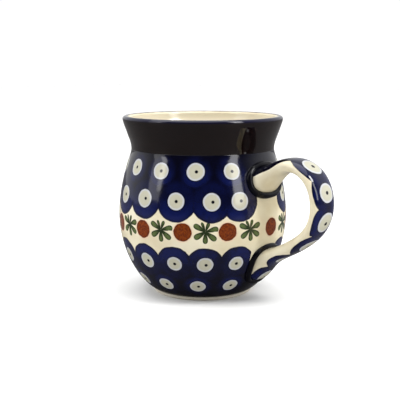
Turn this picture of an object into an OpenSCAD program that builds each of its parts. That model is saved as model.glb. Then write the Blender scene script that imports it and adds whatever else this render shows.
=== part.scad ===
// Round-bellied stoneware mug with a flared collar and a strap handle.
// Z runs up from the foot's bottom plane, the axis of the body is Z, and the handle points along +X.

/* [Body] */
// Height over the lip
mug_h = 88.5; // [75:0.5:100]
// Diameter of the foot ring
foot_d = 49.6; // [44:0.2:56]
// Height of the bare foot below the glaze line
foot_h = 1.8; // [1.4:0.1:4]
// Largest diameter, round the belly
belly_d = 84.4; // [75:0.5:95]
// Height of the belly's widest line
belly_z = 39; // [34:0.5:46]
// Diameter at the neck
neck_d = 70.8; // [60:0.2:74]
// Height of the neck
neck_z = 73; // [64:0.5:80]
// Diameter at the lip, its widest
rim_d = 80; // [74:0.5:90]
// Thickness of the wall, glaze included
wall = 4.2; // [3:0.1:6]
// Thickness of the lip
lip_t = 3.4; // [2.4:0.1:5]
// Thickness of the floor, glaze included
floor_t = 5; // [3.5:0.1:7]
// Depth of the recess under the foot
recess_h = 2.2; // [1:0.1:3]
// Width of the ring that the mug stands on
foot_ring_w = 3.6; // [2.5:0.1:6]
// Thickness of the glaze coats
glaze_t = 0.35; // [0.2:0.05:0.6]
// Height of the line where the dark collar meets the belly
collar_z = 73.2; // [68:0.2:78]

/* [Handle] */
// Reach of the strap's middle line from the axis
handle_reach = 70; // [62:0.5:78]
// Height at which the strap is furthest out
handle_reach_z = 50; // [42:0.5:54]
// Height of the strap's crest, at its middle line
crest_z = 67.8; // [62:0.5:74]
// Distance of the crest from the axis
crest_x = 54.5; // [50:0.5:60]
// Height at which the strap's middle line leaves the body
upper_root_z = 60; // [56:0.5:64]
// Height at which it comes back to the body
lower_root_z = 20.2; // [16:0.1:24]
// Width of the strap
strap_w = 16; // [12:0.2:20]
// Thickness of the strap
strap_t = 6; // [5:0.1:9]
// How much wider the strap is at its upper end
upper_flare_w = 6; // [2:0.2:9]
// How much thicker the strap is at its upper end
upper_flare_t = 9; // [4:0.2:12]
// How much wider the strap is at its lower end
lower_flare_w = 0.6; // [0:0.2:5]
// How much thicker the strap is at its lower end
lower_flare_t = 10; // [4:0.2:12]
// Width of the slip bead round each end
bead_w = 1.9; // [1.2:0.1:3]
// Height of the slip bead over the clay
bead_h = 1.6; // [1:0.1:2.5]

/* [Hidden] */
belly_r = belly_d / 2;
neck_r = neck_d / 2;
rim_r = rim_d / 2;
foot_r = foot_d / 2;
lip_r = lip_t / 2;
// number of straight steps in each curve of the profile
steps = 9;
// stations along the strap, and points round its section
runs = [9, 9, 13];
sides = 24;
// below 1, this fills out the corners of the strap's oval section
shape_pow = 0.86;
$fn = 96;

function mix(a, b, t) = a + (b - a) * t;
function bez(p, t) = pow(1 - t, 3) * p[0] + 3 * t * pow(1 - t, 2) * p[1] + 3 * t * t * (1 - t) * p[2] + pow(t, 3) * p[3];
function curve(p, n, from = 0) = [for (i = [from:n]) bez(p, i / n)];
function back(list) = [for (i = [len(list) - 1:-1:0]) list[i]];
function part_of(list, a, b) = [for (i = [a:b]) list[i]];

// the body's outside, from the glaze line over the foot to the lip
shoulder = [mix(neck_r, belly_r, 0.14), mix(neck_z, belly_z, 0.11)];
collar_foot = [mix(neck_r, rim_r, 0.36), mix(neck_z, mug_h, 0.34)];
lip_out = [rim_r - 0.35, mug_h - lip_t * 0.86];
lower_belly = curve([[foot_r + glaze_t, foot_h], [foot_r + 9.4, foot_h + 5.6], [belly_r, mix(foot_h, belly_z, 0.56)], [belly_r, belly_z]], steps + 3);
upper_belly = curve([[belly_r, belly_z], [belly_r, mix(belly_z, neck_z, 0.31)], [mix(neck_r, belly_r, 0.59), mix(belly_z, neck_z, 0.65)], shoulder], steps, 1);
neck = curve([shoulder, [neck_r - 0.1, mix(neck_z, belly_z, 0.035)], [neck_r + 0.05, mix(neck_z, mug_h, 0.08)], collar_foot], 2 * 4, 1);
collar = [for (i = [1:3]) mix(collar_foot, lip_out, i / 3)];
// the lip is a half round
lip = [for (a = [15:22.5:172.5]) [rim_r - lip_r + lip_r * cos(a), mug_h - lip_r + lip_r * sin(a)]];
// the inside runs a wall's thickness in, down to the floor
floor_z = recess_h + floor_t;
in_rim = [rim_r - lip_t - 0.1, mug_h - lip_t * 0.95];
in_neck = [neck_r - wall, neck_z];
in_belly = [belly_r - wall, belly_z];
in_floor = [foot_r * 0.62, floor_z];
inside = concat(
    curve([in_rim, mix(in_rim, in_neck, 0.4), in_neck + [0, 7], in_neck], steps),
    curve([in_neck, in_neck - [0, 6], in_belly + [0, 18], in_belly], steps, 1),
    curve([in_belly, in_belly - [0, 17], in_floor + [14, 2.2], in_floor], steps + 3, 1),
    [[0, floor_z - 0.3]]);

skin = concat(lower_belly, upper_belly, neck, collar, lip, inside);
last = len(skin) - 1;
// the point where the belly's coat ends and the collar's starts, and where the collar's ends inside the lip
belly_end = max([for (i = [0:len(lower_belly) + len(upper_belly) + len(neck) - 1]) skin[i][1] <= collar_z ? i : 0]);
collar_end = len(lower_belly) + len(upper_belly) + len(neck) + len(collar) + len(lip) - 1;

// a point of the skin moved along the outward normal there
function along(list, i) = list[min(i + 1, len(list) - 1)] - list[max(i - 1, 0)];
function moved(list, i, d) = let (v = along(list, i), n = [v[1], -v[0]] / norm(v)) i == len(list) - 1 ? list[i] + [0, d] : list[i] + n * d;
function offset_line(list, d) = [for (i = [0:len(list) - 1]) moved(list, i, d)];
clay_line = offset_line(skin, -glaze_t);
// the clay starts straight above the foot ring
clay = concat([[foot_r - 0.1, foot_h]], part_of(clay_line, 1, last));

module coat(a, b) {
    rotate_extrude() polygon(concat(part_of(skin, a, b), back(part_of(clay, a, b))));
}

// everything inside the body's outside line moved out by d, as one filled solid
module filled(d) {
    line = offset_line(part_of(skin, 0, belly_end + 4), d);
    rotate_extrude() polygon(concat([[0, 1]], [[foot_r - 2, 1]], line, [[0, line[len(line) - 1][1]]]));
}

module clay_filled() {
    line = part_of(clay, 0, belly_end + 4);
    rotate_extrude() polygon(concat([[0, 1]], [[foot_r - 2, 1]], line, [[0, line[len(line) - 1][1]]]));
}

// the strap's middle line: out of the body and up to the crest, round to the furthest point, and back down to the body
root_in = [neck_r - 2, upper_root_z - 2.6];
root_out = [foot_r + 4.2, lower_root_z - 4];
crest = [crest_x, crest_z];
far = [handle_reach, handle_reach_z];
middle = concat(
    curve([root_in, root_in + [10, 4.4], crest - [7, 0], crest], runs[0]),
    curve([crest, crest + [9.5, 0], far + [0, 9.5], far], runs[1], 1),
    curve([far, far - [0, 17], [mix(foot_r, handle_reach, 0.61), lower_root_z + 7.8], root_out], runs[2], 1));
stations = len(middle);
function run_to(i) = i == 0 ? 0 : run_to(i - 1) + norm(middle[i] - middle[i - 1]);
distance = [for (i = [0:stations - 1]) run_to(i)];
strap_len = distance[stations - 1];
function bump(x, w) = exp(-pow(x / w, 2));
function half_w(i) = (strap_w + upper_flare_w * bump(distance[i], 9.5) + lower_flare_w * bump(strap_len - distance[i] - 5, 8)) / 2;
function half_t(i) = (strap_t + upper_flare_t * bump(distance[i], 10) + lower_flare_t * bump(strap_len - distance[i] - 5, 8)) / 2;
function signed_pow(v, p) = sign(v) * pow(abs(v), p);
// one ring of the strap, grown by d
function ring(i, d) = let (v = along(middle, i), n = [-v[1], v[0]] / norm(v), w = half_w(i) + d, t = half_t(i) + d)
    [for (k = [0:sides - 1]) let (a = 360 * k / sides, s = signed_pow(sin(a), shape_pow) * t, c = signed_pow(cos(a), shape_pow) * w)
        [middle[i][0] + n[0] * s, c, middle[i][1] + n[1] * s]];

function skin_faces(n, flip = false, start = 0) = [for (i = [0:n - 1]) for (k = [0:sides - 1])
    let (a = start + i * sides + k, b = start + i * sides + (k + 1) % sides)
        each (flip ? [[a, b, b + sides], [a, b + sides, a + sides]] : [[b, a, b + sides], [b + sides, a, a + sides]])];

// the strap between two stations, grown by d
module strap(d, first = 0, end = stations - 1) {
    n = end - first;
    polyhedron([for (i = [first:end]) each ring(i, d)],
        concat(skin_faces(n), [[for (k = [0:sides - 1]) k]], [[for (k = [sides - 1:-1:0]) n * sides + k]]));
}

// the skin round the strap between two stations, from the strap's surface out to d
module sleeve(d, first = 0, end = stations - 1) {
    n = end - first;
    m = (n + 1) * sides;
    polyhedron(concat([for (i = [first:end]) each ring(i, d)], [for (i = [first:end]) each ring(i, 0)]),
        concat(skin_faces(n), skin_faces(n, true, m),
            [for (k = [0:sides - 1]) let (b = (k + 1) % sides) each [[k, b, m + k], [m + k, b, m + b]]],
            [for (k = [0:sides - 1]) let (b = (k + 1) % sides, e = n * sides) each [[e + b, e + k, e + m + k], [e + m + b, e + b, e + m + k]]]));
}

// the stations that reach past each bead
upper_end = 6;
lower_first = stations - 7;

module bead(first, end) {
    difference() {
        intersection() {
            sleeve(bead_w, first, end);
            filled(bead_h - glaze_t);
        }
        clay_filled();
    }
}

module cup_body() {
    color([0.80, 0.76, 0.66]) rotate_extrude() polygon(concat(
        clay,
        [[0, recess_h + glaze_t], [foot_r - foot_ring_w - 1.2, recess_h + glaze_t], [foot_r - foot_ring_w, 0], [foot_r - 0.6, 0], [foot_r, 0.6], [foot_r - 0.1, foot_h - 0.6]]));
}

module handle() {
    color([0.80, 0.76, 0.66]) difference() {
        strap(0);
        clay_filled();
    }
}

module upper_slip_joint() {
    color([0.05, 0.06, 0.12]) bead(0, upper_end);
}

module lower_slip_joint() {
    color([0.05, 0.06, 0.12]) bead(lower_first, stations - 1);
}

module liner_glaze() {
    color([0.93, 0.88, 0.74]) coat(collar_end, last);
}

module collar_glaze() {
    color([0.06, 0.06, 0.10]) coat(belly_end, collar_end);
}

module belly_glaze() {
    color([0.10, 0.13, 0.42]) difference() {
        coat(0, belly_end);
        strap(bead_w, 0, upper_end);
        strap(bead_w, lower_first, stations - 1);
    }
}

module handle_glaze() {
    color([0.10, 0.13, 0.42]) difference() {
        sleeve(glaze_t);
        filled(bead_h - glaze_t);
    }
}

module base_glaze() {
    color([0.86, 0.82, 0.70]) translate([0, 0, recess_h]) cylinder(r = foot_r - foot_ring_w - 1.3, h = glaze_t);
}

cup_body();
handle();
upper_slip_joint();
lower_slip_joint();
liner_glaze();
collar_glaze();
belly_glaze();
handle_glaze();
base_glaze();
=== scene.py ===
# Round-bellied stoneware mug with stamped decoration, on a pale studio table.
# The mug stands on z = 0 with its handle along +X. Lengths are metres, and the decoration works in millimetres.
import math

import bpy
import numpy as np
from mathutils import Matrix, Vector


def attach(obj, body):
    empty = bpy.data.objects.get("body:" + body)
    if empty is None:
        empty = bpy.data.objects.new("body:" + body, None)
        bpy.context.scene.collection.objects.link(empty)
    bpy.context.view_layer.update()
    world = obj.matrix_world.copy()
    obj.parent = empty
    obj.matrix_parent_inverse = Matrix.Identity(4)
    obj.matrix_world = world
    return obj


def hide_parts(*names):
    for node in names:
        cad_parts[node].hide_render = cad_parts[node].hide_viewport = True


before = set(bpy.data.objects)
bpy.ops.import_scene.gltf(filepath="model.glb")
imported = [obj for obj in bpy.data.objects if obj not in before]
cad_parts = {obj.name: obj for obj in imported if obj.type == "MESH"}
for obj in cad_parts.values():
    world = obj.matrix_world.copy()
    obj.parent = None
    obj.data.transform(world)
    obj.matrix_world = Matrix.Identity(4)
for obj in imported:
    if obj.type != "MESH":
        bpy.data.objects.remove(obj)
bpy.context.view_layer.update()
print("stage: CAD frame loaded")


def mixPair(a, b, share, upShare=None):
    # radius and height may take different shares
    upShare = share if upShare is None else upShare
    return (a[0] + (b[0] - a[0]) * share, a[1] + (b[1] - a[1]) * upShare)


def curvePoints(a, b, c, d, count, skipFirst=True):
    # points along a Bezier curve from a to d
    points = []
    for step in range(1 if skipFirst else 0, count + 1):
        t = step / count
        w = ((1 - t) ** 3, 3 * t * (1 - t) ** 2, 3 * t * t * (1 - t), t ** 3)
        points.append(tuple(w[0] * a[i] + w[1] * b[i] + w[2] * c[i] + w[3] * d[i] for i in (0, 1)))
    return points


def offsetLine(points, distance):
    moved = []
    for index, point in enumerate(points):
        before, after = points[max(index - 1, 0)], points[min(index + 1, len(points) - 1)]
        along = Vector((after[0] - before[0], after[1] - before[1])).normalized()
        moved.append((point[0] + along.y * distance, point[1] - along.x * distance))
    return moved


def takeUp(*pieces):
    # these pieces selected, and nothing else
    if bpy.context.object and bpy.context.object.mode != "OBJECT":
        bpy.ops.object.mode_set(mode="OBJECT")
    bpy.ops.object.select_all(action="DESELECT")
    for piece in pieces:
        piece.select_set(True)
    bpy.context.view_layer.objects.active = pieces[0]


def applyModifier(piece, kind, **settings):
    takeUp(piece)
    bpy.ops.object.modifier_add(type=kind)
    modifier = piece.modifiers[-1]
    for key, value in settings.items():
        setattr(modifier, key, value)
    bpy.ops.object.modifier_apply(modifier=modifier.name)


weldDistance = 1e-7
spunWeldDistance = 1e-6


def drawOn(before, after):
    move = (after[0] - before[0], 0, after[1] - before[1])
    bpy.ops.mesh.extrude_vertices_move(TRANSFORM_OT_translate={"value": move})


def latheLine(name, outline, segments, rounds=1):
    # a single vertex is drawn out along the outline, closed, and spun round Z
    bpy.ops.object.select_all(action="DESELECT")
    bpy.ops.mesh.primitive_plane_add(size=0.001)
    piece = bpy.context.object
    piece.name = name
    bpy.ops.object.mode_set(mode="EDIT")
    bpy.ops.mesh.merge(type="CENTER")
    bpy.ops.transform.translate(value=(outline[0][0], 0, outline[0][1]))
    for before, after in zip(outline, outline[1:]):
        drawOn(before, after)
    if min(outline[0][0], outline[-1][0]) > spunWeldDistance:
        drawOn(outline[-1], outline[0])
    bpy.ops.mesh.select_all(action="SELECT")
    bpy.ops.mesh.remove_doubles(threshold=weldDistance)
    bpy.ops.mesh.spin(steps=segments, angle=math.tau, center=(0, 0, 0), axis=(0, 0, 1))
    bpy.ops.mesh.select_all(action="SELECT")
    bpy.ops.mesh.remove_doubles(threshold=spunWeldDistance)
    bpy.ops.mesh.normals_make_consistent(inside=False)
    bpy.ops.object.mode_set(mode="OBJECT")
    if rounds:
        applyModifier(piece, "SUBSURF", levels=rounds, render_levels=rounds)
    bpy.ops.object.shade_smooth()
    return piece


mugShape = {
    "height": 0.0885, "footRadius": 0.0248, "footHeight": 0.0018,
    "bellyRadius": 0.0422, "bellyHeight": 0.039,
    "neckRadius": 0.0354, "neckHeight": 0.073,
    "rimRadius": 0.040, "lipThickness": 0.0034, "lipStep": 15,
    "wall": 0.0042, "floorTop": 0.0072, "floorDip": 0.0003, "floorShare": 0.62,
    "recess": 0.0022, "footRing": 0.0036,
    "glaze": 0.00035, "collarLine": 0.0732, "coatEdge": 0.04, "turns": 96,
    # places between two key points, as a share of the radius and of the height
    "shoulder": (0.14, 0.11), "collarFoot": (0.36, 0.34),
    # how far the lip's outer and inner ends lie in from the rim and below it
    "lipOut": (0.00035, 0.00292), "lipIn": (0.0035, 0.00323),
    # how strongly the curves are drawn out toward their key points
    "footPull": (0.0094, 0.0056), "bellyPull": (0.56, 0.31), "shoulderPull": (0.59, 0.65),
    "neckPull": (0.0001, 0.035), "collarPull": (0.00005, 0.08),
    "collarInPull": (0.4, 0.007), "bodyInPull": (0.006, 0.018), "floorPull": (0.017, 0.014, 0.0022),
}
foot = (mugShape["footRadius"], mugShape["footHeight"])
belly = (mugShape["bellyRadius"], mugShape["bellyHeight"])
neck = (mugShape["neckRadius"], mugShape["neckHeight"])
rim = (mugShape["rimRadius"], mugShape["height"])
shoulder = mixPair(neck, belly, *mugShape["shoulder"])
collarFoot = mixPair(neck, rim, *mugShape["collarFoot"])
lipRadius = mugShape["lipThickness"] / 2
lipOut = (rim[0] - mugShape["lipOut"][0], rim[1] - mugShape["lipOut"][1])

# the outside, foot to lip
footPull, floorPull = mugShape["footPull"], mugShape["floorPull"]
lowerBelly = curvePoints((foot[0] + mugShape["glaze"], foot[1]), (foot[0] + footPull[0], foot[1] + footPull[1]),
                         (belly[0], mixPair(foot, belly, mugShape["bellyPull"][0])[1]), belly, 16, skipFirst=False)
upperBelly = curvePoints(belly, (belly[0], mixPair(belly, neck, mugShape["bellyPull"][1])[1]),
                         (mixPair(neck, belly, mugShape["shoulderPull"][0])[0],
                          mixPair(belly, neck, mugShape["shoulderPull"][1])[1]), shoulder, 12)
neckLine = curvePoints(shoulder,
                       (neck[0] - mugShape["neckPull"][0], mixPair(neck, belly, mugShape["neckPull"][1])[1]),
                       (neck[0] + mugShape["collarPull"][0], mixPair(neck, rim, mugShape["collarPull"][1])[1]),
                       collarFoot, 8)
collarLine = [mixPair(collarFoot, lipOut, step / 4) for step in (1, 2, 3, 4)]
lipTurns = [math.radians(degrees) for degrees in range(mugShape["lipStep"], 180, mugShape["lipStep"])]
lipLine = [(rim[0] - lipRadius + lipRadius * math.cos(turn), rim[1] - lipRadius + lipRadius * math.sin(turn))
           for turn in lipTurns]

# the inside, lip to the middle of the floor
inRim = (rim[0] - mugShape["lipIn"][0], rim[1] - mugShape["lipIn"][1])
inNeck = (neck[0] - mugShape["wall"], neck[1])
inBelly = (belly[0] - mugShape["wall"], belly[1])
inFloor = (foot[0] * mugShape["floorShare"], mugShape["floorTop"])
collarInPull, bodyInPull = mugShape["collarInPull"], mugShape["bodyInPull"]
inside = (curvePoints(inRim, mixPair(inRim, inNeck, collarInPull[0]), (inNeck[0], inNeck[1] + collarInPull[1]),
                      inNeck, 9, skipFirst=False)
          + curvePoints(inNeck, (inNeck[0], inNeck[1] - bodyInPull[0]), (inBelly[0], inBelly[1] + bodyInPull[1]),
                        inBelly, 9)
          + curvePoints(inBelly, (inBelly[0], inBelly[1] - floorPull[0]),
                        (inFloor[0] + floorPull[1], inFloor[1] + floorPull[2]), inFloor, 12)
          + [(0.0, mugShape["floorTop"] - mugShape["floorDip"])])

outside = lowerBelly + upperBelly + neckLine
skin = outside + collarLine + lipLine + inside
clayLine = offsetLine(skin, -mugShape["glaze"])
clayLine[-1] = (0.0, skin[-1][1] - mugShape["glaze"])
bellyEnd = max(index for index, point in enumerate(outside) if point[1] <= mugShape["collarLine"])
collarEnd = len(outside) + len(collarLine) + len(lipLine) - 1


def coatOutline(first, end, endsOnAxis=False):
    # the skin one way and the clay line back, with a second point close to each end so that the rounding stays tight
    sides = []
    for line in (skin[first:end + 1], clayLine[first:end + 1]):
        closeToFirst = mixPair(line[0], line[1], mugShape["coatEdge"])
        closeToEnd = [] if endsOnAxis else [mixPair(line[-1], line[-2], mugShape["coatEdge"])]
        sides.append([line[0], closeToFirst] + line[1:-1] + closeToEnd + [line[-1]])
    return sides[0] + sides[1][::-1]


# the body, in bare clay; steps out and up from each corner of the foot round it off
footRounding = {
    "recess": [(-0.0013, 0.0), (-0.0011, -0.0001)], "ringInside": [(-0.0001, 0.00012), (0.0001, 0.0)],
    "ringOutside": [(-0.0007, 0.0), (-0.0005, 0.00006), (-0.00006, 0.0005), (0.0, 0.0007)],
    "glazeLine": [(-0.0001, -0.0005), (-0.0001, 0.0)],
}
recess = mugShape["recess"] + mugShape["glaze"]
ringInside = mugShape["footRadius"] - mugShape["footRing"]
footCorners = {"recess": (ringInside, recess), "ringInside": (ringInside, 0.0), "ringOutside": (foot[0], 0.0),
               "glazeLine": foot}
footOutline = [(0.0, recess)] + [(footCorners[corner][0] + outward, footCorners[corner][1] + upward)
                                 for corner, steps in footRounding.items() for outward, upward in steps]
cupBody = latheLine("cupBody", clayLine[::-1][:-1] + footOutline[::-1], mugShape["turns"])
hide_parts("cup_body")
print("stage: body")

# the glaze coats on the body
linerGlaze = latheLine("linerGlaze", coatOutline(collarEnd, len(skin) - 1, endsOnAxis=True), mugShape["turns"])
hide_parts("liner_glaze")

collarGlaze = latheLine("collarGlaze", coatOutline(bellyEnd, collarEnd), mugShape["turns"])
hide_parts("collar_glaze")

bellyGlaze = latheLine("bellyGlaze", coatOutline(0, bellyEnd), mugShape["turns"])
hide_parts("belly_glaze")
print("stage: coats")

strapShape = {
    "width": 0.016, "thick": 0.006, "glaze": 0.00035,
    "upperRoot": (0.0334, 0.0574), "crest": (0.0545, 0.0678), "far": (0.070, 0.050), "lowerRoot": (0.029, 0.0162),
    # how far the curve runs on straight at each knot; the last bend turns at a share of the reach and a height
    "upperPull": (0.01, 0.0044), "crestPull": (0.007, 0.0095), "farPull": (0.0095, 0.017),
    "lowerBend": (0.61, 0.0280), "lowerPull": (0.01, 0.005),
    # the strap swells towards its roots
    "upperWide": 0.006, "upperThick": 0.009, "upperReach": (0.0095, 0.010),
    "lowerWide": 0.0006, "lowerThick": 0.010, "lowerReach": 0.008, "lowerPeak": 0.005,
    "stations": 64, "around": 24, "squareness": 0.86, "roundingLoss": 1.0115, "cutDepth": 0.0012,
}
upperRoot, crest, far, lowerRoot = (strapShape[name] for name in ("upperRoot", "crest", "far", "lowerRoot"))
upperPull, crestPull, farPull = strapShape["upperPull"], strapShape["crestPull"], strapShape["farPull"]
lowerBend, lowerPull = strapShape["lowerBend"], strapShape["lowerPull"]
strapKnots = [
    # point, handle before, handle after
    (upperRoot, (upperRoot[0] - upperPull[0], upperRoot[1] - upperPull[1]),
     (upperRoot[0] + upperPull[0], upperRoot[1] + upperPull[1])),
    (crest, (crest[0] - crestPull[0], crest[1]), (crest[0] + crestPull[1], crest[1])),
    (far, (far[0], far[1] + farPull[0]), (far[0], far[1] - farPull[1])),
    (lowerRoot, (mixPair(foot, far, lowerBend[0])[0], lowerBend[1]),
     (lowerRoot[0] - lowerPull[0], lowerRoot[1] - lowerPull[1])),
]
middleLine = [upperRoot]
for start, end in zip(strapKnots, strapKnots[1:]):
    middleLine += curvePoints(start[0], start[2], end[1], end[0], 120)
middleLine = np.array(middleLine)
lineSteps = np.linalg.norm(np.diff(middleLine, axis=0), axis=1)
lineRun = np.concatenate([[0.0], np.cumsum(lineSteps)])
strapLength = float(lineRun[-1])


def strapHalves(run, coat=strapShape["glaze"]):
    # half the strap's width and thickness at this distance along it
    upperSwell = [math.exp(-(run / reach) ** 2) for reach in strapShape["upperReach"]]
    lowerSwell = math.exp(-((strapLength - run - strapShape["lowerPeak"]) / strapShape["lowerReach"]) ** 2)
    wide = strapShape["width"] + strapShape["upperWide"] * upperSwell[0] + strapShape["lowerWide"] * lowerSwell
    thick = strapShape["thick"] + strapShape["upperThick"] * upperSwell[1] + strapShape["lowerThick"] * lowerSwell
    return wide / 2 + coat, thick / 2 + coat


# the path, drawn flat in XY so that the bend keeps the strap's width square to it
bpy.ops.object.select_all(action="DESELECT")
bpy.ops.curve.primitive_bezier_curve_add()
strapPath = bpy.context.object
strapPath.data.dimensions = "2D"
strapPath.data.resolution_u = 64
bpy.ops.object.mode_set(mode="EDIT")
bpy.ops.curve.select_all(action="SELECT")
bpy.ops.curve.subdivide(number_cuts=2)
bpy.ops.object.mode_set(mode="OBJECT")
for knot, (point, before, after) in zip(strapPath.data.splines[0].bezier_points, strapKnots):
    knot.handle_left_type = knot.handle_right_type = "FREE"
    knot.co = (point[0], point[1], 0)
    knot.handle_left = (before[0], before[1], 0)
    knot.handle_right = (after[0], after[1], 0)

# the clay's own skin, a little inside the wall, trims the strap's ends
cutLine = offsetLine(outside + collarLine, -strapShape["cutDepth"])
wallCutter = latheLine("wallCutter", [(0.0, cutLine[0][1])] + cutLine + [(0.0, cutLine[-1][1])],
                       mugShape["turns"], rounds=0)


def squareOff(value):
    # a little squarer than an ellipse
    return math.copysign(abs(value) ** strapShape["squareness"], value)


def makeStrap(name, coat):
    # a straight strap, drawn out ring by ring, thickness along Y and width along Z, then bent along the path
    quarterTurn = math.radians(90)
    bpy.ops.object.select_all(action="DESELECT")
    bpy.ops.mesh.primitive_circle_add(vertices=strapShape["around"], radius=1, fill_type="NGON",
                                      rotation=(0, quarterTurn, 0))
    piece = bpy.context.object
    piece.name = name
    bpy.ops.object.transform_apply(location=False, rotation=True, scale=False)
    for vertex in piece.data.vertices:
        # made larger by what the rounding takes off later
        vertex.co.y = squareOff(vertex.co.y) * strapShape["roundingLoss"]
        vertex.co.z = squareOff(vertex.co.z) * strapShape["roundingLoss"]
    bpy.ops.object.mode_set(mode="EDIT")
    bpy.ops.mesh.select_all(action="SELECT")
    halfWide, halfThick = strapHalves(0.0, coat)
    bpy.ops.transform.resize(value=(1, halfThick, halfWide), center_override=(0, 0, 0))
    stationStep = strapLength / strapShape["stations"]
    for station in range(1, strapShape["stations"] + 1):
        place = station * stationStep
        nextWide, nextThick = strapHalves(place, coat)
        bpy.ops.mesh.extrude_region_move(TRANSFORM_OT_translate={"value": (stationStep, 0, 0)})
        bpy.ops.transform.resize(value=(1, nextThick / halfThick, nextWide / halfWide),
                                 center_override=(place, 0, 0))
        halfWide, halfThick = nextWide, nextThick
    bpy.ops.mesh.select_all(action="SELECT")
    bpy.ops.mesh.normals_make_consistent(inside=False)
    bpy.ops.object.mode_set(mode="OBJECT")
    applyModifier(piece, "CURVE", object=strapPath, deform_axis="POS_X")
    takeUp(piece)
    bpy.ops.transform.rotate(value=-quarterTurn, orient_axis="X", center_override=(0, 0, 0))
    bpy.ops.object.transform_apply(location=True, rotation=True, scale=True)
    applyModifier(piece, "SUBSURF", levels=2, render_levels=2)
    applyModifier(piece, "BOOLEAN", operation="DIFFERENCE", object=wallCutter, solver="EXACT")
    takeUp(piece)
    bpy.ops.object.shade_smooth_by_angle(angle=math.radians(40))
    print("stage: strap", name, [round(v, 4) for v in piece.dimensions])
    return piece


strapClay = makeStrap("strapClay", 0.0)
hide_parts("handle")
handleGlaze = makeStrap("handleGlaze", strapShape["glaze"])
takeUp(wallCutter, strapPath)
bpy.ops.object.delete()


def writeStrapPlaces(piece):
    # stores, in millimetres, how far along the strap each point is and how far round from the middle of its back
    count = len(piece.data.vertices)
    spots = np.empty(count * 3)
    piece.data.vertices.foreach_get("co", spots)
    spots = spots.reshape(-1, 3)
    flat = spots[:, [0, 2]]
    nearest = np.array([int(np.argmin(((middleLine - spot) ** 2).sum(axis=1))) for spot in flat])
    ahead = middleLine[np.minimum(nearest + 1, len(middleLine) - 1)] - middleLine[np.maximum(nearest - 1, 0)]
    ahead /= np.linalg.norm(ahead, axis=1)[:, None]
    beyond = ((flat - middleLine[nearest]) * ahead).sum(axis=1)
    outward = np.stack([-ahead[:, 1], ahead[:, 0]], axis=1)
    lift = ((flat - middleLine[nearest]) * outward).sum(axis=1)
    run = lineRun[nearest] + beyond
    halves = np.array([strapHalves(value) for value in run])
    halfWide, halfThick = halves[:, 0], halves[:, 1]
    turn = np.abs(np.arctan2(spots[:, 1] / halfWide, lift / halfThick))
    # a quarter of the girth of an ellipse with these two halves
    quarter = 0.25 * math.pi * (3 * (halfWide + halfThick)
                                - np.sqrt((3 * halfWide + halfThick) * (halfWide + 3 * halfThick)))
    places = np.stack([run, turn / (math.pi / 2) * quarter, lift], axis=1) * 1000
    layer = piece.data.attributes.new("strapPlace", "FLOAT_VECTOR", "POINT")
    layer.data.foreach_set("vector", places.astype(np.float32).ravel())


writeStrapPlaces(handleGlaze)
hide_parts("handle_glaze")
print("stage: strap trimmed")

# a rounded ring of slip where each end of the strap meets the body
slipShape = {"thick": 0.00175, "standOut": 0.00075, "points": 40, "uneven": 0.05, "seed": 7,
             "upperSearch": 0.016, "lowerSearch": 0.022, "searchSteps": 24, "feeler": 0.0002, "wallFeeler": 0.001}
wallLine = np.array(outside + collarLine)


def alongStrap(run):
    return np.array([np.interp(run, lineRun, middleLine[:, 0]), np.interp(run, lineRun, middleLine[:, 1])])


def strapSpot(run, turn):
    # a point on the strap's skin, and the one in its middle
    run = min(max(run, 0.0), strapLength)
    middle = alongStrap(run)
    ahead = alongStrap(run + slipShape["feeler"]) - alongStrap(run - slipShape["feeler"])
    ahead /= np.linalg.norm(ahead)
    wide, thick = strapHalves(run)
    side = squareOff(math.sin(turn)) * wide
    lift = squareOff(math.cos(turn)) * thick
    return (np.array([middle[0] - ahead[1] * lift, side, middle[1] + ahead[0] * lift]),
            np.array([middle[0], 0.0, middle[1]]))


def wallRadius(height):
    # the body's outer radius at this height
    return float(np.interp(height, wallLine[:, 1], wallLine[:, 0]))


def makeSlipJoint(name, node, firstRun, lastRun):
    random = np.random.default_rng(slipShape["seed"])
    feeler = slipShape["wallFeeler"]
    ring = []
    for point in range(slipShape["points"]):
        turn = point / slipShape["points"] * math.tau
        # halve the way between inside and outside until the strap's skin meets the wall
        low, high = firstRun, lastRun
        for _ in range(slipShape["searchSteps"]):
            half = (low + high) / 2
            spot = strapSpot(half, turn)[0]
            if math.hypot(spot[0], spot[1]) < wallRadius(spot[2]):
                low = half
            else:
                high = half
        spot, middle = strapSpot(low, turn)
        around = Vector((spot[0], spot[1], 0)).normalized()
        slope = (wallRadius(spot[2] + feeler) - wallRadius(spot[2] - feeler)) / (2 * feeler)
        wallNormal = (around - Vector((0, 0, slope))).normalized()
        away = Vector(spot - middle)
        away = (away - wallNormal * away.dot(wallNormal)).normalized()
        ring.append(Vector(spot) + away * slipShape["standOut"])
    bpy.ops.object.select_all(action="DESELECT")
    bpy.ops.mesh.primitive_circle_add(vertices=slipShape["points"], radius=0.01, fill_type="NOTHING")
    piece = bpy.context.object
    piece.name = name
    for vertex, place in zip(piece.data.vertices, ring):
        vertex.co = place
    bpy.ops.object.convert(target="CURVE")
    piece = bpy.context.object
    piece.data.bevel_depth = slipShape["thick"]
    piece.data.bevel_resolution = 3
    for point in piece.data.splines[0].points:
        point.radius = 1 + slipShape["uneven"] * random.uniform(-1, 1)
    bpy.ops.object.convert(target="MESH")
    piece = bpy.context.object
    bpy.ops.object.mode_set(mode="EDIT")
    bpy.ops.mesh.select_all(action="SELECT")
    bpy.ops.mesh.remove_doubles(threshold=weldDistance)
    bpy.ops.mesh.normals_make_consistent(inside=False)
    bpy.ops.object.mode_set(mode="OBJECT")
    applyModifier(piece, "SUBSURF", levels=1, render_levels=1)
    bpy.ops.object.shade_smooth()
    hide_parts(node)
    return piece


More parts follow.
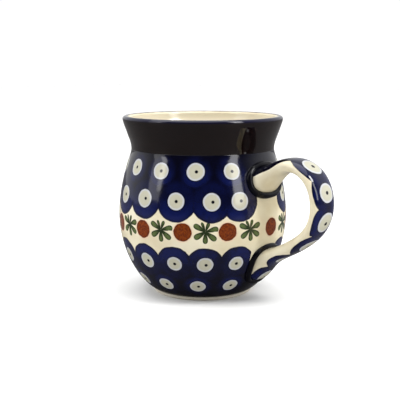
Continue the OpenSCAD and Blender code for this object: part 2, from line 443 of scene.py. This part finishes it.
upperSlip = makeSlipJoint("upperSlipJoint", "upper_slip_joint", 0.0, slipShape["upperSearch"])
lowerSlip = makeSlipJoint("lowerSlipJoint", "lower_slip_joint", strapLength, strapLength - slipShape["lowerSearch"])

# the coat in the foot's recess
baseShape = {"radius": 0.0199, "bottom": 0.00222, "top": 0.00254, "inset": 0.0004, "edge": 0.00004}
baseRadius, baseInset = baseShape["radius"], baseShape["radius"] - baseShape["inset"]
baseBottom, baseTop = baseShape["bottom"], baseShape["top"]
baseOutline = [(0.0, baseBottom), (baseInset, baseBottom), (baseRadius, baseBottom),
               (baseRadius, baseBottom + baseShape["edge"]), (baseRadius, baseTop - baseShape["edge"]),
               (baseRadius, baseTop), (baseInset, baseTop), (0.0, baseTop)]
baseGlaze = latheLine("baseGlaze", baseOutline, mugShape["turns"])
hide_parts("base_glaze")
print("stage: slip joints and base")


def feed(tree, socket, value):
    if isinstance(value, bpy.types.NodeSocket):
        tree.links.new(value, socket)
    else:
        socket.default_value = value


def calc(tree, operation, *values):
    node = tree.nodes.new("ShaderNodeMath")
    node.operation = operation
    for socket, value in zip(node.inputs, values):
        feed(tree, socket, value)
    return node.outputs[0]


def times(tree, value, factor):
    return calc(tree, "MULTIPLY", value, factor)


def minus(tree, value, less):
    return calc(tree, "SUBTRACT", value, less)


def timesPlus(tree, value, factor, more):
    return calc(tree, "MULTIPLY_ADD", value, factor, more)


def strongest(tree, values):
    most = values[0]
    for other in values[1:]:
        most = calc(tree, "MAXIMUM", most, other)
    return most


def vectorCalc(tree, operation, first, second=None, output=0):
    node = tree.nodes.new("ShaderNodeVectorMath")
    node.operation = operation
    feed(tree, node.inputs[0], first)
    if second is not None:
        feed(tree, node.inputs[3] if operation == "SCALE" else node.inputs[1], second)
    return node.outputs[output]


def split(tree, value):
    node = tree.nodes.new("ShaderNodeSeparateXYZ")
    feed(tree, node.inputs[0], value)
    return node.outputs


def join(tree, **parts):
    node = tree.nodes.new("ShaderNodeCombineXYZ")
    for axis, value in parts.items():
        feed(tree, node.inputs[axis], value)
    return node.outputs[0]


def fade(tree, value, full, empty):
    # 1 at full, 0 at empty, smooth between
    node = tree.nodes.new("ShaderNodeMapRange")
    node.interpolation_type = "SMOOTHSTEP"
    for name, amount in (("Value", value), ("From Min", empty), ("From Max", full)):
        feed(tree, node.inputs[name], amount)
    return node.outputs["Result"]


def blendColour(tree, share, under, over):
    node = tree.nodes.new("ShaderNodeMix")
    node.data_type = "RGBA"
    for index, value in ((0, share), (6, under), (7, over)):
        feed(tree, node.inputs[index], value)
    return node.outputs[2]


def noise(tree, place, scale, detail=2.0, roughness=0.5):
    node = tree.nodes.new("ShaderNodeTexNoise")
    for name, amount in (("Vector", place), ("Scale", scale), ("Detail", detail), ("Roughness", roughness)):
        feed(tree, node.inputs[name], amount)
    return node.outputs["Fac"]


def waver(tree, place, scale, detail=2.0, roughness=0.5):
    # noise that swings to both sides of nothing
    return minus(tree, noise(tree, place, scale, detail, roughness), 0.5)


def newGroup(name, inputs, outputs):
    tree = bpy.data.node_groups.new(name, "ShaderNodeTree")
    for kind, labels in inputs.items():
        for label in labels.split():
            tree.interface.new_socket(label, in_out="INPUT", socket_type="NodeSocket" + kind)
    for kind, labels in outputs.items():
        for label in labels.split():
            tree.interface.new_socket(label, in_out="OUTPUT", socket_type="NodeSocket" + kind)
    return tree, tree.nodes.new("NodeGroupInput").outputs, tree.nodes.new("NodeGroupOutput").inputs


def useGroup(tree, group, **values):
    node = tree.nodes.new("ShaderNodeGroup")
    node.node_tree = group
    for name, value in values.items():
        feed(tree, node.inputs[name], value)
    return node.outputs


def colour(red, green, blue):
    # screen values 0 to 255 into the shader's own scale
    shares = [c / 255 for c in (red, green, blue)]
    return tuple((c / 12.92 if c <= 10 / 255 else ((c + 0.055) / 1.055) ** 2.4) for c in shares) + (1.0,)


glazeLook = {
    "cream": colour(235, 227, 201), "creamDeep": colour(220, 208, 176),
    "cobaltFill": colour(2, 2, 20), "cobaltRound": colour(13, 23, 78), "cobaltPatch": colour(4, 9, 44),
    # the navy is paint for the halos and the foot line, and partly painted shade in the line under the collar
    "navyPaintAndShade": colour(5, 5, 14), "discPale": colour(188, 185, 162), "discRim": colour(194, 196, 200),
    "dotBlack": colour(10, 10, 20),
    "brickRed": colour(132, 56, 0), "brickDark": colour(82, 28, 0), "blush": colour(236, 192, 158),
    "leafDark": colour(30, 44, 17), "leafPale": colour(84, 100, 56),
    "gloss": 0.1, "glossSpread": (0.8, 0.6), "rippleDepth": 0.00005,
}

# places one stamp per cell in a ring round the body, where the two sides of the split have their own spacing
handleBearing = 50.5  # bearings are counted so that the handle stands here
outOfReach = 500.0  # a distance or bearing that nothing gets to
ringStamps, given, out = newGroup(
    "ringStamps",
    {"Vector": "Point",
     "Float": "Height Radius LeftStart LeftStep RightStart RightStep Split Back Single SingleFrom Skip Wander"},
    {"Float": "Across Up Distance Chance"})
tree = ringStamps
axes = split(tree, given["Point"])
bearing = calc(tree, "ADD", calc(tree, "DEGREES", calc(tree, "ARCTAN2", axes["Y"], axes["X"])), handleBearing)
backAgain = calc(tree, "ADD", given["Back"], 360)
bearing = calc(tree, "WRAP", bearing, backAgain, given["Back"])
onRight = calc(tree, "GREATER_THAN", bearing, given["Split"])
start = timesPlus(tree, onRight, minus(tree, given["RightStart"], given["LeftStart"]), given["LeftStart"])
step = timesPlus(tree, onRight, minus(tree, given["RightStep"], given["LeftStep"]), given["LeftStep"])
cell = calc(tree, "ROUND", calc(tree, "DIVIDE", minus(tree, bearing, start), step))
# no cell reaches past its own side, so the last stamps before the split and the back keep their whole shape
lowEdge = timesPlus(tree, onRight, minus(tree, given["Split"], given["Back"]), given["Back"])
highEdge = timesPlus(tree, onRight, minus(tree, backAgain, given["Split"]), given["Split"])
for limit, rounding, edge in (("MAXIMUM", "CEIL", lowEdge), ("MINIMUM", "FLOOR", highEdge)):
    edgeCell = calc(tree, rounding, calc(tree, "DIVIDE", minus(tree, edge, start), step))
    cell = calc(tree, limit, cell, edgeCell)
middle = timesPlus(tree, cell, step, start)
# one stamp may stand by itself before the split
isSingle = times(tree, calc(tree, "GREATER_THAN", bearing, given["SingleFrom"]), minus(tree, 1, onRight))
middle = timesPlus(tree, isSingle, minus(tree, given["Single"], middle), middle)
# three chances for each stamp: sideways, upwards, and one that is handed on
chance = tree.nodes.new("ShaderNodeTexWhiteNoise")
chance.noise_dimensions = "2D"
feed(tree, chance.inputs["Vector"], join(tree, X=calc(tree, "ROUND", times(tree, middle, 8)),
                                         Y=calc(tree, "ROUND", given["Height"])))
chances = tree.nodes.new("ShaderNodeSeparateColor")
feed(tree, chances.inputs[0], chance.outputs["Color"])
slipSide = times(tree, minus(tree, chances.outputs[0], 0.5), given["Wander"])
slipUp = times(tree, minus(tree, chances.outputs[1], 0.5), given["Wander"])
angle = calc(tree, "ADD", calc(tree, "RADIANS", minus(tree, middle, handleBearing)),
             calc(tree, "DIVIDE", slipSide, given["Radius"]))
cosine, sine = calc(tree, "COSINE", angle), calc(tree, "SINE", angle)
centre = join(tree, X=times(tree, cosine, given["Radius"]), Y=times(tree, sine, given["Radius"]),
              Z=calc(tree, "ADD", slipUp, given["Height"]))
reach = vectorCalc(tree, "SUBTRACT", given["Point"], centre)
across = vectorCalc(tree, "DOT_PRODUCT", reach, join(tree, X=times(tree, sine, -1), Y=cosine), output=1)
hidden = calc(tree, "LESS_THAN", calc(tree, "ABSOLUTE", minus(tree, middle, handleBearing)), given["Skip"])
distance = timesPlus(tree, hidden, outOfReach, vectorCalc(tree, "LENGTH", reach, output=1))
# the slanted height is what is left of the distance once the sideways part is taken out
upSquare = minus(tree, times(tree, distance, distance), times(tree, across, across))
up = times(tree, calc(tree, "SQRT", calc(tree, "MAXIMUM", upSquare, 0)), calc(tree, "SIGN", split(tree, reach)["Z"]))
for label, value in (("Across", across), ("Up", up), ("Distance", distance), ("Chance", chances.outputs[2])):
    feed(tree, out[label], value)

# one eye: a pale disc with a black dot in it, on a round of cobalt; each edge has where it is full and where empty
eyeShape = {
    "ragged": 0.22, "discRagged": 0.6, "roundRagged": 0.9, "sizeSpread": 0.35, "dotSpread": 0.7,
    "disc": (-0.14, 0.14), "core": (-1.1, -0.35), "halo": (0.1, 0.9), "dot": (0.6, 0.94), "round": (-0.18, 0.18),
    "glow": (-2.4, 1.3), "lit": (8.0, -3.0), "litRagged": 9.0, "litShare": 0.68, "unlitShare": 0.32,
}
eyeStamp, given, out = newGroup(
    "eyeStamp", {"Vector": "Point", "Float": "Across Up Distance Chance DiscRadius RoundRadius DotSide Lean"},
    {"Float": "Disc Core Dot Halo Round Glow"})
tree = eyeStamp
ragged = waver(tree, given["Point"], eyeShape["ragged"])
luck = minus(tree, given["Chance"], 0.5)
size = timesPlus(tree, luck, eyeShape["sizeSpread"], given["DiscRadius"])
discFar = timesPlus(tree, ragged, eyeShape["discRagged"], minus(tree, given["Distance"], size))
feed(tree, out["Disc"], fade(tree, discFar, *eyeShape["disc"]))
feed(tree, out["Core"], fade(tree, discFar, *eyeShape["core"]))
feed(tree, out["Halo"], fade(tree, discFar, *eyeShape["halo"]))
dotAcross = minus(tree, given["Across"], timesPlus(tree, luck, eyeShape["dotSpread"], given["DotSide"]))
dotFar = calc(tree, "SQRT", timesPlus(tree, dotAcross, dotAcross, times(tree, given["Up"], given["Up"])))
feed(tree, out["Dot"], fade(tree, dotFar, *eyeShape["dot"]))
roundFar = timesPlus(tree, ragged, eyeShape["roundRagged"], minus(tree, given["Distance"], given["RoundRadius"]))
feed(tree, out["Round"], fade(tree, roundFar, *eyeShape["round"]))
# the blue is brightest on the side that meets the cream
lit = fade(tree, timesPlus(tree, given["Up"], given["Lean"],
                           times(tree, ragged, eyeShape["litRagged"])), *eyeShape["lit"])
feed(tree, out["Glow"], times(tree, fade(tree, roundFar, *eyeShape["glow"]),
                              timesPlus(tree, lit, eyeShape["litShare"], eyeShape["unlitShare"])))

# one petal of the green floret, a drop with its point at the middle; what is left to its edge is positive inside
petalShape = {"pointPower": 0.6, "endPower": 5, "fullness": 1.25}
petal, given, out = newGroup("petal", {"Float": "Across Up Turn Length Wide"}, {"Float": "Spare"})
tree = petal
turn = calc(tree, "RADIANS", given["Turn"])
cosine, sine = calc(tree, "COSINE", turn), calc(tree, "SINE", turn)
along = timesPlus(tree, given["Across"], cosine, times(tree, given["Up"], sine))
beside = calc(tree, "ABSOLUTE", minus(tree, times(tree, given["Up"], cosine), times(tree, given["Across"], sine)))
share = calc(tree, "MAXIMUM", calc(tree, "DIVIDE", along, given["Length"]), 0.0)
# the half width grows from the point, then closes in a round end
closing = calc(tree, "MAXIMUM", minus(tree, 1, calc(tree, "POWER", share, petalShape["endPower"])), 0.0)
halfWidth = times(tree, calc(tree, "POWER", share, petalShape["pointPower"]), calc(tree, "SQRT", closing))
halfWidth = times(tree, times(tree, halfWidth, given["Wide"]), petalShape["fullness"])
feed(tree, out["Spare"], minus(tree, halfWidth, beside))

# the fine unevenness of a fired glaze: a height for the bump and a value for the gloss
skinShape = {"rippleScale": 0.16, "pitScale": 1.4, "pitShare": 0.06, "cloudScale": 0.07}
glazeSkin, given, out = newGroup("glazeSkin", {"Vector": "Point", "Float": "Ripple"}, {"Float": "Height Cloud"})
tree = glazeSkin
ripples = noise(tree, given["Point"], skinShape["rippleScale"], 2.0, 0.55)
pits = noise(tree, given["Point"], skinShape["pitScale"], 2.0, 0.6)
feed(tree, out["Height"], timesPlus(tree, pits, skinShape["pitShare"], times(tree, ripples, given["Ripple"])))
feed(tree, out["Cloud"], noise(tree, given["Point"], skinShape["cloudScale"], 3.0, 0.6))

# cream glaze, a little deeper in soft patches
creamPaint, given, out = newGroup("creamPaint", {"Vector": "Point"}, {"Color": "Colour"})
tree = creamPaint
deeper = fade(tree, noise(tree, given["Point"], 0.05, 3.0, 0.6), 0.7, 0.35)
feed(tree, out["Colour"], blendColour(tree, deeper, glazeLook["cream"], glazeLook["creamDeep"]))

# cobalt, near black between the rounds and clouded blue where they glow
cobaltPaint, given, out = newGroup("cobaltPaint", {"Vector": "Point", "Float": "Glow"}, {"Color": "Colour"})
tree = cobaltPaint
patch = fade(tree, noise(tree, given["Point"], 0.11, 3.0, 0.6), 0.72, 0.42)
blue = blendColour(tree, patch, glazeLook["cobaltRound"], glazeLook["cobaltPatch"])
feed(tree, out["Colour"], blendColour(tree, given["Glow"], glazeLook["cobaltFill"], blue))

# the eyes over what is painted already: halos first, then discs, then the dots
eyePaint, given, out = newGroup("eyePaint", {"Color": "Under", "Float": "Halo Disc Core Dot"}, {"Color": "Colour"})
tree = eyePaint
painted = given["Under"]
dotInDisc = times(tree, given["Dot"], given["Disc"])
for mask, look, strength in ((given["Halo"], "navyPaintAndShade", 0.55), (given["Disc"], "discRim", 1.0),
                             (given["Core"], "discPale", 0.9), (dotInDisc, "dotBlack", 1.0)):
    painted = blendColour(tree, times(tree, mask, strength), painted, glazeLook[look])
feed(tree, out["Colour"], painted)
print("stage: decoration groups")


def newMaterial(name, gloss, ripple=1.0):
    material = bpy.data.materials.new(name)
    material.use_nodes = True
    tree = material.node_tree
    shader = tree.nodes["Principled BSDF"]
    shader.inputs["IOR"].default_value = 1.5
    place = tree.nodes.new("ShaderNodeTexCoord").outputs["Object"]
    point = vectorCalc(tree, "SCALE", place, 1000.0)
    unevenness = useGroup(tree, glazeSkin, Point=point, Ripple=ripple)
    bump = tree.nodes.new("ShaderNodeBump")
    bump.inputs["Strength"].default_value = 1.0
    bump.inputs["Distance"].default_value = glazeLook["rippleDepth"]
    feed(tree, bump.inputs["Height"], unevenness["Height"])
    feed(tree, shader.inputs["Normal"], bump.outputs[0])
    cloudy, clear = glazeLook["glossSpread"]
    feed(tree, shader.inputs["Roughness"],
         timesPlus(tree, unevenness["Cloud"], gloss * cloudy, gloss * clear))
    return material, tree, shader, point, unevenness["Cloud"]


def stampPlaces(stamps):
    return {label: stamps[label] for label in ("Across", "Up", "Distance", "Chance")}


def paintEyes(tree, under, eyes):
    masks = {label: strongest(tree, [eye[label] for eye in eyes]) for label in ("Halo", "Disc", "Core", "Dot")}
    return useGroup(tree, eyePaint, Under=under, **masks)["Colour"]


# heights and sizes in mm, bearings and steps in degrees; an eye's lean tells on which side of it the cream lies
noSingle = {"Single": 0.0, "SingleFrom": outOfReach}
bellyPattern = {
    "eyeRows": [
        ({"Height": 64.9, "LeftStart": -4.8, "LeftStep": 25.714, "RightStart": 81.0, "RightStep": 23.98,
          "Split": 50.5, "Back": -171.1, "Skip": 12.0, **noSingle},
         {"DiscRadius": 4.15, "RoundRadius": 7.3, "Lean": -1.0}),
        ({"Height": 51.5, "LeftStart": 6.2, "LeftStep": 23.8, "RightStart": 72.5, "RightStep": 25.42,
          "Split": 42.0, "Back": -173.1, "Skip": 9.0, "Single": 24.6, "SingleFrom": 15.4},
         {"DiscRadius": 4.15, "RoundRadius": 9.7, "Lean": -1.0}),
        ({"Height": 21.3, "LeftStart": -42.8, "LeftStep": 23.6, "RightStart": 1.8, "RightStep": 21.7,
          "Split": -31.0, "Back": -172.6, "Skip": 9.0, **noSingle},
         {"DiscRadius": 3.8, "RoundRadius": 9.0, "Lean": 1.0}),
        ({"Height": 9.3, "LeftStart": -4.0, "LeftStep": 27.692, "RightStart": -4.0, "RightStep": 27.692,
          "Split": 9.85, "Back": -184.0, "Skip": 9.0, **noSingle},
         {"DiscRadius": 3.75, "RoundRadius": 6.5, "Lean": 1.0}),
    ],
    "eyeWander": 0.5, "dotSide": 0.45,
    "dots": {"Height": 37.3, "Radius": 42.2, "LeftStart": 15.9, "LeftStep": 28.8, "RightStart": 50.6,
             "RightStep": 30.2, "Split": 33.0, "Back": -143.2, "Skip": 0.0, "Wander": 0.5, **noSingle},
    "dotRadius": 4.35, "blushShare": 0.55, "rimShare": 0.6,
    "florets": {"Height": 37.9, "Radius": 42.2, "LeftStart": 1.6, "LeftStep": 28.9, "RightStart": 67.7,
                "RightStep": 29.88, "Split": 49.5, "Back": -157.9, "Skip": 0.0, "Wander": 0.6,
                "Single": 31.8, "SingleFrom": 15.8},
    "floretSwing": 12.0,
    # turn, length and half width of each petal
    "petals": [(19, 6.2, 1.5), (153, 6.3, 1.5), (-36, 6.5, 1.55), (-143, 6.1, 1.6), (-86, 5.8, 1.4), (73, 4.6, 1.0),
               (116, 4.8, 0.85)],
    # the heights where cobalt and navy begin, each with where it is full and where empty
    "edgeSwing": 1.2, "topFill": (52.2, 51.8), "bottomFill": (21.8, 22.2),
    # the navy line under the collar is partly paint and partly painted shade from the collar's overhang
    "collarLineAndShade": (72.5, 71.8), "footLine": (3.4, 4.2),
}
bellyMaterial, tree, shader, point, _ = newMaterial("bellyDecoration", glazeLook["gloss"])
eyes = []
for placing, eye in bellyPattern["eyeRows"]:
    stamps = useGroup(tree, ringStamps, Point=point, Radius=wallRadius(placing["Height"] / 1000) * 1000,
                      Wander=bellyPattern["eyeWander"], **placing)
    eyes.append(useGroup(tree, eyeStamp, Point=point, DotSide=bellyPattern["dotSide"], **stampPlaces(stamps), **eye))

# the cream band, its red dots with a blush round them, and its green florets
painted = useGroup(tree, creamPaint, Point=point)["Colour"]
dots = useGroup(tree, ringStamps, Point=point, **bellyPattern["dots"])
dotEdge = timesPlus(tree, waver(tree, point, 0.5), 0.6, minus(tree, dots["Distance"], bellyPattern["dotRadius"]))
blush = times(tree, fade(tree, dotEdge, 0.1, 0.9), bellyPattern["blushShare"])
painted = blendColour(tree, blush, painted, glazeLook["blush"])
mottle = fade(tree, noise(tree, point, 1.1, 4.0, 0.7), 0.35, 0.68)
red = blendColour(tree, mottle, glazeLook["brickDark"], glazeLook["brickRed"])
darkRim = times(tree, fade(tree, dotEdge, -0.2, -1.0), bellyPattern["rimShare"])
red = blendColour(tree, darkRim, red, glazeLook["brickDark"])
painted = blendColour(tree, fade(tree, dotEdge, -0.12, 0.12), painted, red)

florets = useGroup(tree, ringStamps, Point=point, **bellyPattern["florets"])
swing = times(tree, minus(tree, florets["Chance"], 0.5), bellyPattern["floretSwing"])
leaves = strongest(tree, [
    useGroup(tree, petal, Across=florets["Across"], Up=florets["Up"], Turn=calc(tree, "ADD", swing, float(petalTurn)),
             Length=petalLength, Wide=petalWide)["Spare"]
    for petalTurn, petalLength, petalWide in bellyPattern["petals"]])
brushed = waver(tree, point, 1.3, 3.0, 0.6)
leafMiddle = fade(tree, timesPlus(tree, brushed, 1.4, leaves), 0.95, 0.15)
leafTip = fade(tree, timesPlus(tree, brushed, 2.0, florets["Distance"]), 4.4, 1.2)
green = blendColour(tree, times(tree, leafMiddle, leafTip), glazeLook["leafDark"], glazeLook["leafPale"])
painted = blendColour(tree, fade(tree, leaves, 0.16, 0.0), painted, green)

# the cobalt fields above and below it, with a hand-drawn navy line along the foot, and a navy line along the collar
# that is partly paint and partly painted shade under the collar's overhang
wavyHeight = calc(tree, "ADD", split(tree, point)["Z"],
                  times(tree, waver(tree, point, 0.2), bellyPattern["edgeSwing"]))
topFill, bottomFill, collarLineAndShade, footLine = (fade(tree, wavyHeight, *bellyPattern[edge])
                                          for edge in ("topFill", "bottomFill", "collarLineAndShade", "footLine"))
cobalt = strongest(tree, [topFill, bottomFill] + [eye["Round"] for eye in eyes])
glow = strongest(tree, [eye["Glow"] for eye in eyes])
painted = blendColour(tree, cobalt, painted, useGroup(tree, cobaltPaint, Point=point, Glow=glow)["Colour"])
# navy along the foot, and along the collar, where it is partly painted shade under the overhang
painted = blendColour(tree, strongest(tree, [collarLineAndShade, footLine]), painted, glazeLook["navyPaintAndShade"])
feed(tree, shader.inputs["Base Color"], paintEyes(tree, painted, eyes))
bellyGlaze.data.materials.append(bellyMaterial)

# the same paints on the strap, placed in mm along it and round it; the eyes sit further apart below the turn
strapPattern = {
    "firstEye": 32.4, "upperStep": 12.0, "turnPlace": 62.4, "lowerEye": 69.5, "lowerStep": 14.8, "lowerSeed": 7.3,
    "eye": {"DiscRadius": 4.0, "RoundRadius": 8.2, "DotSide": 0.2, "Lean": 1.0},
    # the cobalt on the back spreads round the sides towards the upper root: full, empty and how much further
    "backFill": 3.9, "rootFill": [(15.0, 28.0, 5.2), (4.0, 12.0, 2.6)],
}
strapMaterial, tree, shader, point, _ = newMaterial("handleDecoration", glazeLook["gloss"])
places = tree.nodes.new("ShaderNodeAttribute")
places.attribute_name = "strapPlace"
onStrap = split(tree, places.outputs["Vector"])
runPlace, sidePlace = onStrap["X"], onStrap["Y"]
isLower = calc(tree, "GREATER_THAN", runPlace, strapPattern["turnPlace"])
eyeStart = timesPlus(tree, isLower, strapPattern["lowerEye"] - strapPattern["firstEye"], strapPattern["firstEye"])
eyeStep = timesPlus(tree, isLower, strapPattern["lowerStep"] - strapPattern["upperStep"], strapPattern["upperStep"])
cell = calc(tree, "ROUND", calc(tree, "DIVIDE", minus(tree, runPlace, eyeStart), eyeStep))
cell = calc(tree, "MAXIMUM", cell, 0)
alongCell = minus(tree, runPlace, timesPlus(tree, cell, eyeStep, eyeStart))
eyeFar = calc(tree, "SQRT", timesPlus(tree, alongCell, alongCell, times(tree, sidePlace, sidePlace)))
strapChance = tree.nodes.new("ShaderNodeTexWhiteNoise")
strapChance.noise_dimensions = "1D"
feed(tree, strapChance.inputs["W"], timesPlus(tree, isLower, strapPattern["lowerSeed"], cell))
strapEye = useGroup(tree, eyeStamp, Point=point, Across=alongCell, Up=sidePlace, Distance=eyeFar,
                    Chance=strapChance.outputs["Value"], **strapPattern["eye"])
fillReach = strapPattern["backFill"]
for full, empty, further in strapPattern["rootFill"]:
    fillReach = timesPlus(tree, fade(tree, runPlace, full, empty), further, fillReach)
backFill = fade(tree, minus(tree, sidePlace, fillReach), -0.2, 0.2)
painted = blendColour(tree, strongest(tree, [backFill, strapEye["Round"]]),
                      useGroup(tree, creamPaint, Point=point)["Colour"],
                      useGroup(tree, cobaltPaint, Point=point, Glow=strapEye["Glow"])["Colour"])
feed(tree, shader.inputs["Base Color"], paintEyes(tree, painted, [strapEye]))
handleGlaze.data.materials.append(strapMaterial)

# black over the collar, blue where it thins on the lip, then a brown edge and the cream of the inside;
# heights and distances from the axis in mm, each with where it is full and where empty
collarLook = {
    "gloss": 0.08, "black": colour(13, 5, 4), "blackBlue": colour(15, 8, 10), "lipBlue": colour(15, 16, 44),
    "brown": colour(120, 104, 84), "blueHeight": (87.7, 86.6), "lipFrom": 86.3,
    "brownEdge": (37.45, 37.8), "creamEdge": (37.2, 37.5), "edgeSwing": 0.5,
}
collarMaterial, tree, shader, point, cloud = newMaterial("collarGlaze", collarLook["gloss"])
height = split(tree, point)["Z"]
deep = blendColour(tree, fade(tree, cloud, 0.7, 0.35), collarLook["black"], collarLook["blackBlue"])
deep = blendColour(tree, fade(tree, height, *collarLook["blueHeight"]), deep, collarLook["lipBlue"])
fromAxis = vectorCalc(tree, "LENGTH", vectorCalc(tree, "MULTIPLY", point, (1.0, 1.0, 0.0)), output=1)
lipPlace = timesPlus(tree, waver(tree, point, 0.25), collarLook["edgeSwing"], fromAxis)
onLip = calc(tree, "GREATER_THAN", height, collarLook["lipFrom"])
for edge, over in (("brownEdge", collarLook["brown"]),
                   ("creamEdge", useGroup(tree, creamPaint, Point=point)["Colour"])):
    deep = blendColour(tree, times(tree, fade(tree, lipPlace, *collarLook[edge]), onLip), deep, over)
feed(tree, shader.inputs["Base Color"], deep)
collarGlaze.data.materials.append(collarMaterial)

linerLook = {"gloss": 0.1, "shade": colour(219, 209, 184), "shadeShare": 0.9}
linerMaterial, tree, shader, point, _ = newMaterial("linerGlaze", linerLook["gloss"])
feed(tree, shader.inputs["Base Color"],
     blendColour(tree, linerLook["shadeShare"], useGroup(tree, creamPaint, Point=point)["Colour"], linerLook["shade"]))
for piece in (linerGlaze, baseGlaze):
    piece.data.materials.append(linerMaterial)

slipLook = {"gloss": 0.2, "specular": 0.22, "dark": colour(3, 3, 8), "light": colour(8, 8, 18)}
slipMaterial, tree, shader, _, cloud = newMaterial("slipLine", slipLook["gloss"])
shader.inputs["Specular IOR Level"].default_value = slipLook["specular"]
feed(tree, shader.inputs["Base Color"], blendColour(tree, cloud, slipLook["dark"], slipLook["light"]))
for piece in (upperSlip, lowerSlip):
    piece.data.materials.append(slipMaterial)

clayLook = {"gloss": 0.7, "ripple": 0.4, "dark": colour(196, 188, 172), "light": colour(220, 214, 198),
            "speck": colour(110, 90, 66), "speckShare": 0.5}
clayMaterial, tree, shader, point, _ = newMaterial("bareClay", clayLook["gloss"], clayLook["ripple"])
grit = noise(tree, point, 2.2, 4.0, 0.7)
speck = times(tree, fade(tree, noise(tree, point, 3.4, 1.0), 0.72, 0.66), clayLook["speckShare"])
clayColour = blendColour(tree, grit, clayLook["dark"], clayLook["light"])
feed(tree, shader.inputs["Base Color"], blendColour(tree, speck, clayColour, clayLook["speck"]))
for piece in (cupBody, strapClay):
    piece.data.materials.append(clayMaterial)
print("stage: materials")

for piece in (cupBody, strapClay, linerGlaze, collarGlaze, bellyGlaze, baseGlaze, handleGlaze, upperSlip, lowerSlip):
    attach(piece, "root")

studio = {
    "viewTurn": math.radians(39.5), "viewDistance": 0.410, "viewHeight": 0.1139, "viewDip": 0.165, "viewYaw": 0.0033,
    "lens": 73.82, "aim": (0, 0, 0.045),
    # the paper looks white, lights the undersides softly, and stays dark in the glaze's reflections
    "paperSeen": (1.0, 1.0, 0.995, 1), "paperLight": (0.58, 0.575, 0.565, 1), "paperInGlaze": (0.12, 0.116, 0.116, 1),
    "backAir": 0.74, "frontAir": 0.05, "airEdge": (-0.35, 0.55), "airSeen": 1.02,
    "sunPower": 1.95, "sunTilt": (8, -6), "sunSoftness": 70,
    # turn from the camera's side in degrees (positive to its right), distance, height, width, length, power,
    # and whether it shows in the glaze
    "softboxes": {
        "rightSoftbox": (58, 0.70, 0.80, 0.26, 0.26, 4.2, True),
        "rightStripSoftbox": (50, 0.80, 0.36, 0.20, 0.50, 1.6, True),
        "rightWideSoftbox": (92, 0.90, 0.50, 0.80, 0.80, 4.0, False),
        "leftSoftbox": (-63, 0.88, 0.48, 0.13, 0.52, 0.6, True),
        "leftEdgeSoftbox": (-71, 0.90, 0.42, 0.34, 0.60, 1.0, True),
        "leftWideSoftbox": (-82, 0.95, 0.42, 0.90, 0.75, 4.2, False),
        "frontFill": (-4, 1.2, 0.30, 0.9, 0.6, 1.0, False),
    },
}
bpy.ops.object.select_all(action="DESELECT")
bpy.ops.mesh.primitive_plane_add(size=6.0, location=(0, 0, 0))
floor = bpy.context.object
floor.name = "studioFloor"
floorMaterial = bpy.data.materials.new("studioFloor")
floorMaterial.use_nodes = True
tree = floorMaterial.node_tree
floorShader = tree.nodes["Principled BSDF"]
rays = tree.nodes.new("ShaderNodeLightPath").outputs
thrown = blendColour(tree, rays["Is Diffuse Ray"], studio["paperInGlaze"], studio["paperLight"])
feed(tree, floorShader.inputs["Base Color"],
     blendColour(tree, rays["Is Camera Ray"], thrown, studio["paperSeen"]))
floorShader.inputs["Roughness"].default_value = 0.6
floorShader.inputs["Specular IOR Level"].default_value = 0.2
floor.data.materials.append(floorMaterial)

# bright white all round except on the camera's side, where the room is dark
world = bpy.data.worlds.new("studioAir")
bpy.context.scene.world = world
world.use_nodes = True
air = world.node_tree
background = air.nodes["Background"]
seen = air.nodes.new("ShaderNodeLightPath").outputs["Is Camera Ray"]
feed(air, background.inputs["Color"], (1.0, 1.0, 1.0, 1.0))
towards = vectorCalc(air, "DOT_PRODUCT", air.nodes.new("ShaderNodeTexCoord").outputs["Generated"],
                     (math.sin(studio["viewTurn"]), -math.cos(studio["viewTurn"]), 0.0), output=1)
airLight = timesPlus(air, fade(air, towards, *studio["airEdge"]), studio["backAir"] - studio["frontAir"],
                     studio["frontAir"])
feed(air, background.inputs["Strength"],
     calc(air, "MAXIMUM", airLight, times(air, seen, studio["airSeen"])))

for name, (turn, distance, height, wide, tall, power, inGlaze) in studio["softboxes"].items():
    bearing = studio["viewTurn"] + math.radians(turn - 90)
    place = Vector((math.cos(bearing) * distance, math.sin(bearing) * distance, height))
    bpy.ops.object.light_add(type="AREA", location=place)
    lamp = bpy.context.object
    lamp.name = name
    lamp.rotation_euler = (Vector(studio["aim"]) - place).to_track_quat("-Z", "Y").to_euler()
    lamp.data.shape = "RECTANGLE"
    lamp.data.size = wide
    lamp.data.size_y = tall
    lamp.data.energy = power
    lamp.visible_glossy = inGlaze

sunTilt = [math.radians(degrees) for degrees in studio["sunTilt"]]
bpy.ops.object.light_add(type="SUN", location=(0, 0, 1.5), rotation=(*sunTilt, 0))
overhead = bpy.context.object
overhead.name = "overheadLight"
overhead.data.energy = studio["sunPower"]
overhead.data.angle = math.radians(studio["sunSoftness"])

viewPlace = (studio["viewDistance"] * math.sin(studio["viewTurn"]),
             -studio["viewDistance"] * math.cos(studio["viewTurn"]), studio["viewHeight"])
viewAngles = (math.pi / 2 - studio["viewDip"], 0, studio["viewTurn"] + studio["viewYaw"])
bpy.ops.object.camera_add(location=viewPlace, rotation=viewAngles)
camera = bpy.context.object
camera.data.lens = studio["lens"]
camera.data.sensor_width = 36
camera.data.dof.use_dof = False
camera.data.clip_start = 0.01
bpy.context.scene.camera = camera
bpy.context.scene.view_settings.view_transform = "Standard"
print("stage: studio")

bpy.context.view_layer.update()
